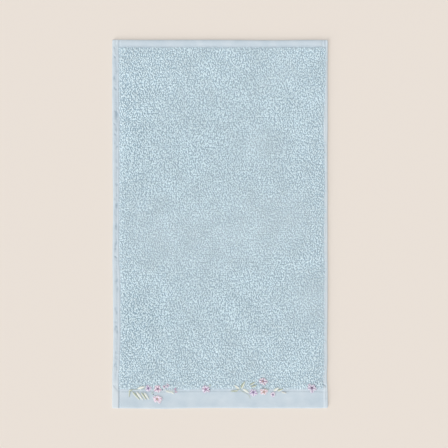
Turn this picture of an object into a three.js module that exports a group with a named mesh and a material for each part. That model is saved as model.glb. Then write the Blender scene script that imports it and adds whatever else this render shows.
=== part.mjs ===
// A hand towel lying flat: one length of cotton terry with turned side hems, a narrow hem at its
// top end and a plain woven border at its bottom end.
// Millimetres. X runs across the towel, Y along it towards the top hem, Z up from the surface that
// it lies on. The origin is the middle of its underside.
import * as THREE from "three";
import { mergeVertices } from "three/addons/utils/BufferGeometryUtils.js";

// Driving dimensions
const WIDTH = 300;
const LENGTH = 513;
const PILE_TOP = 4.0;
const LEFT_HEM_WIDTH = 9.6;
const RIGHT_HEM_WIDTH = 4.6;
const TOP_HEM_WIDTH = 10.4;
const BORDER_WIDTH = 23.5;

// A turned edge is rounded: its widest line is RIM_HEIGHT up, and the faces start FOLD_IN further in.
const RIM_HEIGHT = 1.1;
const FOLD_IN = 0.6;
const FOLD_SHOULDER = 1.7;
const CORNER_RADIUS = 2.7;

// Pile grows to its full height over PILE_RISE from the crease where a hem ends, and to STEEP_TOP over
// the first, steep part of that.
const PILE_RISE = 5.0;
const STEEP_RISE = 1.9;
const STEEP_TOP = 3.6;

// The border's inner edge is turned under and sewn down in a ridge this wide, highest at its crest.
const SEAM_RIDGE = 3.2;
const SEAM_CREST = 2.1;

// Spacing of the lines that shape the pile field.
const FIELD_STEP_ACROSS = 17;
const FIELD_STEP_ALONG = 9.5;

// Sections through the cloth: height of the upper face, measured inward from an edge.
const LEFT_HEM = [
  { inward: FOLD_IN, height: 2.25 },
  { inward: FOLD_SHOULDER, height: 2.7 },
  { inward: 4.2, height: 2.5 },
  { inward: 5.6, height: 1.9 }, // drawn down by the seam
  { inward: 7.8, height: 2.6 },
  { inward: LEFT_HEM_WIDTH, height: 1.8 }, // crease beside the pile
  { inward: LEFT_HEM_WIDTH + STEEP_RISE, height: STEEP_TOP },
  { inward: LEFT_HEM_WIDTH + PILE_RISE, height: PILE_TOP },
];
const RIGHT_HEM = [
  { inward: FOLD_IN, height: 2.25 },
  { inward: FOLD_SHOULDER, height: 2.7 },
  { inward: 3.0, height: 2.7 },
  { inward: RIGHT_HEM_WIDTH, height: 1.8 }, // crease beside the pile
  { inward: RIGHT_HEM_WIDTH + STEEP_RISE, height: STEEP_TOP },
  { inward: RIGHT_HEM_WIDTH + PILE_RISE, height: PILE_TOP },
];
const TOP_HEM = [
  { inward: FOLD_IN, height: 2.4 },
  { inward: FOLD_SHOULDER, height: 2.8 },
  { inward: 4.0, height: 2.95 },
  { inward: 8.2, height: 2.6 },
  { inward: TOP_HEM_WIDTH, height: 1.4 }, // crease beside the pile
  { inward: TOP_HEM_WIDTH + STEEP_RISE, height: STEEP_TOP },
  { inward: TOP_HEM_WIDTH + PILE_RISE, height: PILE_TOP },
];
const BORDER = [
  { inward: FOLD_IN, height: 1.65 },
  { inward: FOLD_SHOULDER, height: 2.0 },
  { inward: 13.0, height: 1.75 },
  { inward: 21.9, height: 1.85 },
  { inward: BORDER_WIDTH, height: 1.2 }, // crease below the seam
  { inward: BORDER_WIDTH + SEAM_CREST, height: 2.15 }, // turned edge under the seam
  { inward: BORDER_WIDTH + SEAM_RIDGE + STEEP_RISE, height: STEEP_TOP },
  { inward: BORDER_WIDTH + SEAM_RIDGE + PILE_RISE, height: PILE_TOP },
];

// How far each edge is drawn in from a straight line. Sides are read upward from the bottom edge,
// ends from left to right, as a share of the edge's length.
const LEFT_EDGE = [
  { along: 0, drawnIn: 0 },
  { along: 0.085, drawnIn: 0.05 },
  { along: 0.134, drawnIn: 1 },
  { along: 0.19, drawnIn: 1.4 },
  { along: 0.32, drawnIn: 1 },
  { along: 0.4, drawnIn: 0.35 },
  { along: 0.56, drawnIn: 1.15 },
  { along: 0.67, drawnIn: 0.3 },
  { along: 0.73, drawnIn: 0.4 },
  { along: 0.83, drawnIn: 0 },
  { along: 1, drawnIn: 0.15 },
];
const RIGHT_EDGE = [
  { along: 0, drawnIn: 0 },
  { along: 0.036, drawnIn: 0.3 },
  { along: 0.087, drawnIn: 1.45 },
  { along: 0.135, drawnIn: 0.6 },
  { along: 0.185, drawnIn: 1 },
  { along: 0.24, drawnIn: 0.6 },
  { along: 0.3, drawnIn: 0.45 },
  { along: 0.37, drawnIn: 0.25 },
  { along: 0.43, drawnIn: 0.55 },
  { along: 0.6, drawnIn: 0.55 },
  { along: 0.72, drawnIn: 0.65 },
  { along: 0.77, drawnIn: 0.35 },
  { along: 0.9, drawnIn: 0.45 },
  { along: 1, drawnIn: 0 },
];
const TOP_EDGE = [
  { along: 0, drawnIn: 0 },
  { along: 0.16, drawnIn: 0.35 },
  { along: 0.42, drawnIn: 0.2 },
  { along: 0.75, drawnIn: 0.75 },
  { along: 0.94, drawnIn: 0.3 },
  { along: 1, drawnIn: 0.45 },
];
const BOTTOM_EDGE = [
  { along: 0, drawnIn: 0.6 },
  { along: 0.11, drawnIn: 0.4 },
  { along: 0.18, drawnIn: 0 },
  { along: 0.25, drawnIn: 0 },
  { along: 0.39, drawnIn: 0.85 },
  { along: 0.5, drawnIn: 1 },
  { along: 0.62, drawnIn: 0.65 },
  { along: 0.95, drawnIn: 0.6 },
  { along: 1, drawnIn: 1.1 },
];

// Low swells where the cloth isn't pressed quite flat, placed from the lower left corner.
const SWELLS = [
  { across: 40, along: 95, reach: 55, lift: 0.25 },
  { across: 210, along: 60, reach: 45, lift: -0.2 },
  { across: 120, along: 190, reach: 70, lift: -0.25 },
  { across: 255, along: 240, reach: 60, lift: 0.25 },
  { across: 70, along: 320, reach: 50, lift: 0.2 },
  { across: 170, along: 390, reach: 65, lift: 0.25 },
  { across: 265, along: 450, reach: 50, lift: -0.2 },
];

// Puckers that the seam leaves along the side hems: two waves that drift in and out of step.
const PUCKERS = [
  { pitch: 47, lift: 0.14 },
  { pitch: 71, lift: 0.12 },
];

const TERRY_COTTON = new THREE.MeshStandardMaterial({
  color: 0xb9ccd6,
  roughness: 0.95,
  metalness: 0,
});

// A table's value at a place, eased from row to row.
function readTable(rows, placeColumn, valueColumn, place) {
  const after = rows.findIndex((row) => row[placeColumn] >= place);
  if (after === 0) return rows[0][valueColumn];
  if (after < 0) return rows[rows.length - 1][valueColumn];
  const [low, high] = [rows[after - 1], rows[after]];
  const share = THREE.MathUtils.smoothstep(place, low[placeColumn], high[placeColumn]);
  return THREE.MathUtils.lerp(low[valueColumn], high[valueColumn], share);
}

const heightOf = (section, inward) => readTable(section, "inward", "height", inward);
const drawnInAt = (edge, along) => readTable(edge, "along", "drawnIn", along);

// Lines across one direction of the cloth: each section's own, and even steps between the two.
function gridLines(size, nearSection, farSection, step) {
  const near = nearSection.map((row) => row.inward);
  const far = farSection.map((row) => size - row.inward).reverse();
  const start = near[near.length - 1];
  const gap = far[0] - start;
  const count = Math.round(gap / step);
  const between = Array.from({ length: count - 1 }, (_, n) => start + (gap * (n + 1)) / count);
  return [...near, ...between, ...far];
}

function swellAt(across, along) {
  return SWELLS.reduce((sum, swell) => {
    const away = Math.hypot(across - swell.across, along - swell.along) / swell.reach;
    return sum + swell.lift * Math.exp(-away * away);
  }, 0);
}

function puckerAt(along) {
  return PUCKERS.reduce((sum, wave) => sum + wave.lift * Math.sin((2 * Math.PI * along) / wave.pitch), 0);
}

// Height of the upper face. The side hems run the whole length, over the end hems and the border.
function upperFace(across, along) {
  const onLeft = across < WIDTH / 2;
  const fromSide = onLeft ? across : WIDTH - across;
  const sideHem = onLeft ? LEFT_HEM : RIGHT_HEM;
  const hemWidth = onLeft ? LEFT_HEM_WIDTH : RIGHT_HEM_WIDTH;
  const nearTop = along > LENGTH / 2;
  const fromEnd = nearTop ? LENGTH - along : along;
  const side = heightOf(sideHem, fromSide);
  if (fromSide <= hemWidth) {
    const rounded = heightOf(sideHem, Math.min(fromEnd, FOLD_SHOULDER));
    return Math.min(side + puckerAt(along), rounded);
  }
  const crease = heightOf(sideHem, hemWidth);
  const inField = (side - crease) / (PILE_TOP - crease);
  const middle = heightOf(nearTop ? TOP_HEM : BORDER, fromEnd);
  const pile = Math.min(middle, side);
  const swell = (swellAt(across, along) * pile) / PILE_TOP;
  return THREE.MathUtils.lerp(Math.min(crease, middle), middle, inField) + swell;
}

// A place on the flat rectangle, moved in with the uneven edges.
function drawnIn(across, along) {
  const [u, v] = [across / WIDTH, along / LENGTH];
  const x = across + THREE.MathUtils.lerp(drawnInAt(LEFT_EDGE, v), -drawnInAt(RIGHT_EDGE, v), u);
  const y = along + THREE.MathUtils.lerp(drawnInAt(BOTTOM_EDGE, u), -drawnInAt(TOP_EDGE, u), v);
  return [x, y];
}

// The cloth is a box whose lines follow the hems: level 0 lies on the surface, level 1 is the
// widest line of the rounded edge, and level 2 is the upper face.
function makeCloth() {
  const acrossLines = gridLines(WIDTH, LEFT_HEM, RIGHT_HEM, FIELD_STEP_ACROSS);
  const alongLines = gridLines(LENGTH, BORDER, TOP_HEM, FIELD_STEP_ALONG);
  const lastAcross = acrossLines.length - 1;
  const lastAlong = alongLines.length - 1;
  const levels = 2;
  const cloth = new THREE.BoxGeometry(1, 1, 1, lastAcross, lastAlong, levels);
  const points = cloth.getAttribute("position");
  for (let n = 0; n < points.count; n++) {
    const i = Math.round((points.getX(n) + 0.5) * lastAcross);
    const j = Math.round((points.getY(n) + 0.5) * lastAlong);
    const level = Math.round((points.getZ(n) + 0.5) * levels);
    let [across, along, z] = [acrossLines[i], alongLines[j], 0];
    if (level === 1) {
      const atCorner = (i === 0 || i === lastAcross) && (j === 0 || j === lastAlong);
      const inset = atCorner ? CORNER_RADIUS * (1 - Math.SQRT1_2) : 0;
      if (i === 0 || i === lastAcross) across = i === 0 ? inset : WIDTH - inset;
      if (j === 0 || j === lastAlong) along = j === 0 ? inset : LENGTH - inset;
      z = RIM_HEIGHT;
    }
    if (level === levels) z = upperFace(across, along);
    points.setXYZ(n, ...drawnIn(across, along), z);
  }
  cloth.deleteAttribute("normal");
  cloth.deleteAttribute("uv");
  cloth.clearGroups();
  const closed = mergeVertices(cloth);
  closed.computeBoundingBox();
  const middle = closed.boundingBox.getCenter(new THREE.Vector3());
  closed.translate(-middle.x, -middle.y, 0);
  closed.computeVertexNormals();
  return closed;
}

const towel = new THREE.Mesh(makeCloth(), TERRY_COTTON);
towel.name = "towel";

const handTowel = new THREE.Group();
handTowel.name = "hand_towel";
handTowel.add(towel);

export default handTowel;
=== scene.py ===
import bpy
import numpy as np
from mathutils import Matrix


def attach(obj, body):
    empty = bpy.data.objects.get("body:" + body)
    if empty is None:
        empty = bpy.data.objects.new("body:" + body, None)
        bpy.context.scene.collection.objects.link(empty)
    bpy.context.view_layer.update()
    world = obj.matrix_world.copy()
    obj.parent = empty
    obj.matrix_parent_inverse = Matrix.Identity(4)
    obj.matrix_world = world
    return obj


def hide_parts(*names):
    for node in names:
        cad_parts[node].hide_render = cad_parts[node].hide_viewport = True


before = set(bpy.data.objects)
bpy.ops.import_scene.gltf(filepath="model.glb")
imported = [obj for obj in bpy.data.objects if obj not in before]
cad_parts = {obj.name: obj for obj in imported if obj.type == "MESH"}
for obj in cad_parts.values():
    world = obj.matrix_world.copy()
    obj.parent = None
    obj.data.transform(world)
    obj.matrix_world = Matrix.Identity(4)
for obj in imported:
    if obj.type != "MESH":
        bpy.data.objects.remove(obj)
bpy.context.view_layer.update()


# The cloth: one length of cotton terry, woven without loops along its sides and ends. Those strips
# are turned under and sewn down, as narrow hems on three sides and a wide plain border at the bottom.
# Places are millimetres from the lower left corner, and become metres in the meshes.
MM = 0.001
WIDTH, LENGTH = 300.0, 513.0
LEFT_HEM_WIDTH, RIGHT_HEM_WIDTH, TOP_HEM_WIDTH = 9.6, 4.6, 10.4
BORDER_WIDTH, SEAM_RIDGE = 23.5, 3.2
PILE_TOP, GROUND = 4.0, 1.9
FOLD_IN, FOLD_SHOULDER, CORNER_RADIUS, THINNEST = 0.6, 1.7, 2.7, 0.6
FIELD_RISE, GROUND_SWELL = 2.6, 0.4

# Sections of the cloth: (millimetres in from the edge, height of its upper face).
LEFT_HEM = [(0.6, 2.25), (1.7, 2.75), (4.2, 2.55), (5.6, 2.2), (6.9, 2.45), (8.0, 2.75), (8.9, 2.5),
            (9.6, 1.8), (12.2, GROUND)]
RIGHT_HEM = [(0.6, 2.5), (1.7, 2.75), (3.0, 2.6), (3.9, 2.3), (4.6, 1.8), (7.0, GROUND)]
TOP_HEM = [(0.6, 2.4), (1.7, 2.8), (4.0, 2.95), (6.2, 2.85), (8.2, 2.6), (9.6, 2.25), (10.4, 1.3),
           (13.2, GROUND)]
BORDER = [(0.6, 1.65), (1.7, 2.0), (13.0, 1.75), (22.9, 1.85), (23.8, 1.4), (24.8, 2.05), (25.6, 2.15),
          (27.0, 1.85), (30.0, GROUND)]
PILE_EDGE = [(0.0, 0.4), (1.8, 0.85), (5.0, 1.0)]

# Hems are wider in some places than in others: (share of the edge's length, share of the hem's width).
LEFT_HEM_WIDTHS = [(0, 0.98), (0.06, 0.96), (0.2, 1.06), (0.35, 1.08), (0.45, 0.92), (0.55, 0.88),
                   (0.65, 1.0), (0.8, 1.02), (0.9, 0.96), (1, 0.9)]
RIGHT_HEM_WIDTHS = [(0, 1.5), (0.055, 1.3), (0.12, 1.08), (0.2, 1.0), (0.3, 1.12), (0.38, 0.96), (0.46, 1.2),
                    (0.56, 1.0), (0.62, 0.8), (0.7, 0.96), (0.76, 1.35), (0.81, 1.15), (0.87, 0.7), (1, 0.62)]
TOP_HEM_WIDTHS = [(0, 1.04), (0.5, 1.01), (1, 0.955)]

# How pale the side hems have faded: (share of the edge's length, 0 to 1).
LEFT_FADE = [(0, 1.0), (0.055, 0.95), (0.085, 0.3), (0.3, 0.25), (0.6, 0.1), (0.94, 0.0), (1, 0.5)]
RIGHT_FADE = [(0, 0.3), (0.05, 0.6), (0.3, 0.7), (0.6, 0.8), (1, 0.7)]

# How far each edge is drawn in from a straight line: (share of its length, millimetres).
LEFT_EDGE = [(0, 0), (0.085, 0.05), (0.134, 1.0), (0.19, 1.4), (0.32, 1.0), (0.4, 0.35), (0.56, 1.15),
             (0.67, 0.3), (0.73, 0.4), (0.83, 0), (1, 0.15)]
RIGHT_EDGE = [(0, 0), (0.036, 0.3), (0.087, 1.45), (0.135, 0.6), (0.185, 1.0), (0.24, 0.6), (0.3, 0.45),
              (0.37, 0.25), (0.43, 0.55), (0.6, 0.55), (0.72, 0.65), (0.77, 0.35), (0.9, 0.45), (1, 0)]
TOP_EDGE = [(0, 0), (0.16, 0.35), (0.42, 0.2), (0.75, 0.75), (0.94, 0.3), (1, 0.45)]
BOTTOM_EDGE = [(0, 0.6), (0.11, 0.4), (0.18, 0), (0.25, 0), (0.39, 0.85), (0.5, 1.0), (0.62, 0.65),
               (0.95, 0.6), (1, 1.1)]

# Low swells in the pressed cloth: (across, along, reach, lift).
SWELLS = [(40, 95, 55, 0.25), (210, 60, 45, -0.2), (120, 190, 70, -0.25), (255, 240, 60, 0.25),
          (70, 320, 50, 0.2), (170, 390, 65, 0.25), (265, 450, 50, -0.2)]

# Patches where the loops are ruffled more, or have been smoothed: (across, along, reach, amount).
RUFFLED = [(25, 440, 40, 0.35), (30, 375, 35, 0.3), (32, 325, 30, 0.2), (35, 130, 40, 0.45),
           (165, 150, 40, 0.25), (250, 440, 28, 0.2), (120, 362, 30, 0.2), (60, 245, 45, -0.45),
           (140, 240, 45, -0.4), (215, 260, 45, -0.6), (260, 262, 35, -0.5), (285, 155, 32, -0.8),
           (205, 368, 22, -0.55), (235, 466, 20, -0.4)]
RUFFLED_LEAST, RUFFLED_USUAL, RUFFLED_MOST = 0.2, 0.85, 1.4

# Long waves in the side hems and in the border: (pitch, lift).
HEM_WAVES = [(47, 0.14), (71, 0.12)]
BORDER_WAVES = [(31, 0.07), (53, 0.11), (87, 0.09)]
WAVES_MIDDLE, WAVES_REACH = 11.0, 9.0

# The left hem's seam pulls it down, and draws it together in lumps of these ranges and in fine ribs.
PUCKER_SEED = 11
SEAM_IN, SEAM_BOTTOM, SEAM_TOP = 5.6, 46.0, 505.0
SEAM_PULL, SEAM_REACH, SEAM_LEAD, SEAM_EASE = 0.45, 1.7, 8.0, 10.0
LUMP_DEPTH, LUMP_REACH, LUMP_SLANT = (-0.55, 1.1), (1.1, 3.4), (-1.1, 1.1)
LUMP_MIDDLE, LUMP_WIDTH, LUMP_GAP = (3.0, 7.6), (1.0, 2.2), (2.0, 7.0)
RIB_PITCH, RIB_LIFT, RIB_SLANT = 3.6, 0.13, 0.35
RIB_IN, RIB_EASE_IN, RIB_EASE_UP = 1.5, 2.0, 12.0
# HOLLOW_SHADE, HOLLOW_IN and CREASE_SHADE set the painted shade in the troughs of the seam's lumps and in the
# creases.
HOLLOW_SHADE, HOLLOW_IN, CREASE_SHADE, FADE_EDGE = 0.9, 1.2, 0.45, 0.8

# Creases pressed in at the corners and along the right hem:
# (from across, along, to across, along, depth, reach).
CREASES = [(10.0, 503.5, 10.0, 513.0, 0.6, 0.8), (292.0, 503.5, 292.0, 513.0, 0.55, 0.8),
           (290.2, 0.0, 290.2, 19.0, 0.3, 0.8), (9.7, 0.0, 9.7, 33.0, 0.8, 0.7),
           (2.0, 32.4, 9.0, 24.0, 0.75, 0.9), (4.2, 33.4, 9.2, 27.6, 0.4, 0.8),
           (292.8, 33.6, 297.6, 31.0, 1.6, 1.0), (291.5, 22.6, 299.0, 22.8, 0.35, 0.8),
           (291.5, 14.4, 299.0, 14.2, 0.25, 0.8), (296.0, 96.0, 298.8, 92.5, 0.4, 1.2),
           (295.8, 214.0, 298.6, 217.0, 0.35, 1.3), (296.0, 331.0, 298.6, 327.5, 0.4, 1.3)]


def eased(rows, places):
    at, values = np.array(rows, float).T
    after = np.clip(np.searchsorted(at, places), 1, len(at) - 1)
    share = np.clip((places - at[after - 1]) / (at[after] - at[after - 1]), 0, 1)
    return values[after - 1] + (values[after] - values[after - 1]) * share * share * (3 - 2 * share)


def seam_puckers(along, inward):
    """Lumps and troughs where the left seam draws the hem together, uneven in place, size and slant, and
    fine ribs that drift and fade along it."""
    drawn = np.random.default_rng(PUCKER_SEED)
    lift = np.zeros(np.broadcast(along, inward).shape)
    place = SEAM_BOTTOM
    while place < SEAM_TOP:
        depth = drawn.uniform(*LUMP_DEPTH)
        reach = drawn.uniform(*LUMP_REACH)
        slant = drawn.uniform(*LUMP_SLANT)
        middle = drawn.uniform(*LUMP_MIDDLE)
        wide = drawn.uniform(*LUMP_WIDTH)
        off = (along - place - slant * (inward - middle)) / reach
        lift -= depth * np.exp(-off * off) * np.exp(-(((inward - middle) / wide) ** 2))
        place += drawn.uniform(*LUMP_GAP)
    drift = 1.7 * np.sin(along / 23.0) + 1.1 * np.sin(along / 9.7 + 1.0) + RIB_SLANT * inward
    fade = 0.55 + 0.45 * np.sin(along / 31.0 + 0.7)
    ribs = RIB_LIFT * fade * np.sin(2 * np.pi * along / RIB_PITCH + drift)
    ribs = ribs * np.clip((inward - RIB_IN) / RIB_EASE_IN, 0, 1)
    return lift + ribs * np.clip((along - SEAM_BOTTOM) / RIB_EASE_UP, 0, 1)


def creases_at(across, along):
    """Soft troughs along the straight lines in CREASES."""
    lift = np.zeros(np.broadcast(across, along).shape)
    for x0, y0, x1, y1, depth, reach in CREASES:
        share = ((across - x0) * (x1 - x0) + (along - y0) * (y1 - y0)) / ((x1 - x0) ** 2 + (y1 - y0) ** 2)
        share = np.clip(share, 0, 1)
        away = np.hypot(across - x0 - share * (x1 - x0), along - y0 - share * (y1 - y0)) / reach
        lift -= depth * np.exp(-away * away)
    return lift


def from_edges(across, along):
    """Distances from the nearest side and end, and which ones they are."""
    on_left, near_top = across < WIDTH / 2, along > LENGTH / 2
    side = np.where(on_left, across, WIDTH - across)
    end = np.where(near_top, LENGTH - along, along)
    return side, end, on_left, near_top


def patches_at(rows, across, along):
    """Sum of soft round patches, each (across, along, reach, amount)."""
    return sum(
        amount * np.exp(-((across - x) ** 2 + (along - y) ** 2) / reach**2)
        for x, y, reach, amount in rows
    )


def hem_shares(across, along):
    """How wide the nearest side hem and the end hem are at a place, as shares of their usual widths."""
    u, v = across / WIDTH, along / LENGTH
    side_share = np.where(u < 0.5, eased(LEFT_HEM_WIDTHS, v), eased(RIGHT_HEM_WIDTHS, v))
    return side_share, np.where(v > 0.5, eased(TOP_HEM_WIDTHS, u), 1.0)


def ruffle_at(across, along):
    """How far the loops stray at a place, and so how deep the gaps between them are and how dark their
    painted shade is.
    """
    ruffled = RUFFLED_USUAL + patches_at(RUFFLED, across, along)
    return np.clip(ruffled, RUFFLED_LEAST, RUFFLED_MOST)


def cloth_height(across, along):
    """Upper face of the woven cloth. The side hems run the whole length, over the end hem and border."""
    side, end, on_left, near_top = from_edges(across, along)
    side_share, end_share = hem_shares(across, along)
    inward = np.where(side < FOLD_SHOULDER, side, FOLD_SHOULDER + (side - FOLD_SHOULDER) / side_share)
    hem_width = np.where(on_left, LEFT_HEM_WIDTH, RIGHT_HEM_WIDTH)
    at_seam = np.exp(-(((inward - SEAM_IN) / SEAM_REACH) ** 2))
    loose = 1 - np.clip((along - SEAM_BOTTOM + SEAM_LEAD) / SEAM_EASE, 0, 1)
    left_hem = eased(LEFT_HEM, inward) + SEAM_PULL * at_seam * loose
    hem = np.where(on_left, left_hem, eased(RIGHT_HEM, inward))
    hem = hem + sum(lift * np.sin(2 * np.pi * along / pitch) for pitch, lift in HEM_WAVES)
    hem = hem + np.where(on_left, seam_puckers(along, inward), 0.0)
    hem = np.minimum(hem, eased(RIGHT_HEM, np.minimum(end, FOLD_SHOULDER)))
    waves = sum(lift * np.sin(2 * np.pi * across / pitch) for pitch, lift in BORDER_WAVES)
    ripple = waves * np.exp(-(((along - WAVES_MIDDLE) / WAVES_REACH) ** 2))
    middle = np.where(near_top, eased(TOP_HEM, end / end_share), eased(BORDER, end)) + ripple
    into_field = np.clip((inward - hem_width) / FIELD_RISE, 0, 1)
    edge = np.minimum(np.where(on_left, LEFT_HEM[-2][1], RIGHT_HEM[-2][1]), middle)
    swell = patches_at(SWELLS, across, along) * GROUND_SWELL
    inner = edge + (middle - edge) * into_field + swell * into_field
    return np.maximum(np.where(inward <= hem_width, hem, inner) + creases_at(across, along), THINNEST)


def past_hems(across, along):
    """How far a place lies inside the hems and the border, in millimetres."""
    side, end, on_left, near_top = from_edges(across, along)
    side_share, end_share = hem_shares(across, along)
    past_side = side - np.where(on_left, LEFT_HEM_WIDTH, RIGHT_HEM_WIDTH) * side_share
    past_end = end - np.where(near_top, TOP_HEM_WIDTH * end_share, BORDER_WIDTH + SEAM_RIDGE)
    return np.minimum(past_side, past_end)


def pile_share(across, along):
    """0 on the hems and border, rising to 1 where the loops have their full height."""
    return eased(PILE_EDGE, past_hems(across, along))


def laid(across, along, height):
    """Points in metres of a place on the flat rectangle, drawn in with the uneven edges."""
    u, v = across / WIDTH, along / LENGTH
    x = across + (1 - u) * eased(LEFT_EDGE, v) - u * eased(RIGHT_EDGE, v)
    y = along + (1 - v) * eased(BOTTOM_EDGE, u) - v * eased(TOP_EDGE, u)
    return np.stack([x - WIDTH / 2, y - LENGTH / 2, np.broadcast_to(height, np.shape(x))], -1) * MM


def mesh_from(name, points, edges=(), faces=()):
    mesh = bpy.data.meshes.new(name)
    mesh.from_pydata(points, edges, faces)
    return mesh


def mark_points(mesh, label, values):
    """Keeps a number with each point of a mesh, for its material or its geometry tree."""
    marks = np.asarray(values, np.float32)
    mesh.attributes.new(label, "FLOAT", "POINT").data.foreach_set("value", marks)


def piece_from(name, mesh, material):
    piece = bpy.data.objects.new(name, mesh)
    bpy.context.scene.collection.objects.link(piece)
    if material:
        mesh.materials.append(material)
    return piece


def lines(*stretches):
    """Places of the lines that shape a direction of the cloth: (end of a stretch, step) from FOLD_IN on."""
    found, start = [FOLD_IN], FOLD_IN
    for stop, step in stretches:
        count = max(1, round((stop - start) / step))
        found += list(start + (stop - start) * (np.arange(count) + 1) / count)
        start = stop
    return np.array(found)


# The rounded edge, from the underside to the upper face: (inset, share of the upper face's height).
FOLD_RINGS = [(0.25, 0.12), (0.0, 0.5), (0.14, 0.8)]
across_lines = lines((13.2, 0.63), (WIDTH - 9.6, 9.0), (WIDTH - FOLD_IN, 0.6))
along_lines = lines((3.0, 0.8), (36.0, 1.1), (LENGTH - 12.4, 0.9), (LENGTH - FOLD_IN, 0.7))
columns, rows = len(across_lines), len(along_lines)
across, along = np.meshgrid(across_lines, along_lines)
top_height = cloth_height(across, along)
upper = laid(across, along, top_height)
number = np.arange(columns * rows).reshape(rows, columns)
rim = np.concatenate([number[0, :], number[1:, -1], number[-1, -2::-1], number[-2:0:-1, 0]])
rim_across, rim_along = across.ravel()[rim], along.ravel()[rim]
at_side = (rim_across == across_lines[0]) | (rim_across == across_lines[-1])
at_end = (rim_along == along_lines[0]) | (rim_along == along_lines[-1])
corner_in = np.where(at_side & at_end, CORNER_RADIUS * (1 - np.sqrt(0.5)), 0.0)
ring_points = [laid(rim_across, rim_along, 0.0)]
for inset, share in FOLD_RINGS:
    inset = inset + corner_in
    ring_across = np.where(at_side, np.where(rim_across < WIDTH / 2, inset, WIDTH - inset), rim_across)
    ring_along = np.where(at_end, np.where(rim_along < LENGTH / 2, inset, LENGTH - inset), rim_along)
    ring_points.append(laid(ring_across, ring_along, top_height.ravel()[rim] * share))
grid = np.stack([number[:-1, :-1], number[:-1, 1:], number[1:, 1:], number[1:, :-1]], -1).reshape(-1, 4)
total, around = columns * rows, len(rim)
rings = [*(total + n * around + np.arange(around) for n in range(len(ring_points))), rim]
fold = [np.stack([low, np.roll(low, -1), np.roll(high, -1), high], -1) for low, high in zip(rings, rings[1:])]
bottom = np.empty((rows, 2), int)
bottom[:, 1] = total + columns - 1 + np.arange(rows)
bottom[1:, 0] = total + 2 * columns + rows - 4 + np.arange(rows - 1, 0, -1)
bottom[0, 0] = total
under_rows = np.stack([bottom[2:-1, 0], bottom[2:-1, 1], bottom[1:-2, 1], bottom[1:-2, 0]], -1)
first_row = [*bottom[1], *(total + np.arange(columns))[::-1]]
last_row = [*(total + columns + rows - 2 + np.arange(columns))[::-1], *bottom[-2, ::-1]]
cloth_mesh = mesh_from(
    "towel_cloth",
    np.concatenate([upper.reshape(-1, 3), *ring_points]),
    faces=[*grid.tolist(), *np.concatenate(fold).tolist(), *under_rows.tolist(), first_row, last_row],
)
cloth_mesh.shade_smooth()
# Painted shade on the ground cloth under the loops, where the gaps between them are shaded: darker where the
# loops stand full height and are ruffled.
pile_shade_share = np.where(past_hems(across, along) > 0, pile_share(across, along), 0.0)
pile_shade_share = (pile_shade_share * ruffle_at(across, along) / RUFFLED_MOST).ravel()
mark_points(cloth_mesh, "painted_shade_under_pile", np.concatenate([pile_shade_share, np.zeros(around * len(ring_points))]))
side, _, on_left, _ = from_edges(across, along)
side_share, _ = hem_shares(across, along)
past_side = side - np.where(on_left, LEFT_HEM_WIDTH, RIGHT_HEM_WIDTH) * side_share
fade = np.where(on_left, eased(LEFT_FADE, along / LENGTH), eased(RIGHT_FADE, along / LENGTH))
fade = (fade * np.clip(-past_side / FADE_EDGE, 0, 1)).ravel()
inward = np.where(on_left & (past_side < 0), side / side_share, 0.0)
# Painted shade: the troughs of the left seam's lumps and the creases are coloured darker, more the deeper
# they are.
painted_hollow_shade = np.clip(-HOLLOW_SHADE * seam_puckers(along, inward), 0, 1)
painted_hollow_shade = np.where((inward > HOLLOW_IN) & (along > SEAM_BOTTOM - SEAM_LEAD), painted_hollow_shade, 0.0)
painted_hollow_shade = np.clip(painted_hollow_shade - CREASE_SHADE * creases_at(across, along), 0, 1).ravel()
for label, values in (("faded", fade), ("painted_hollow_shade", painted_hollow_shade)):
    mark_points(cloth_mesh, label, np.concatenate([values, *[values[rim]] * len(ring_points)]))


def add(tree, kind, values=None, **settings):
    """A new node with its settings, and its inputs set to values or linked to other nodes' outputs."""
    made = tree.nodes.new(kind)
    for name, value in settings.items():
        setattr(made, name, value)
    for key, value in (values or {}).items():
        if isinstance(value, bpy.types.NodeSocket):
            tree.links.new(value, made.inputs[key])
        else:
            made.inputs[key].default_value = value
    return made


def new_material(name):
    material = bpy.data.materials.new(name)
    material.use_nodes = True
    tree = material.node_tree
    return material, tree, tree.nodes["Principled BSDF"]


def tint(red, green, blue):
    """A colour as a screen shows it, 0 to 255, made linear for a shader."""
    share = np.array([red, green, blue]) / 255
    linear = np.where(share <= 0.04045, share / 12.92, ((share + 0.055) / 1.055) ** 2.4)
    return (*(float(v) for v in linear), 1.0)


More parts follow.
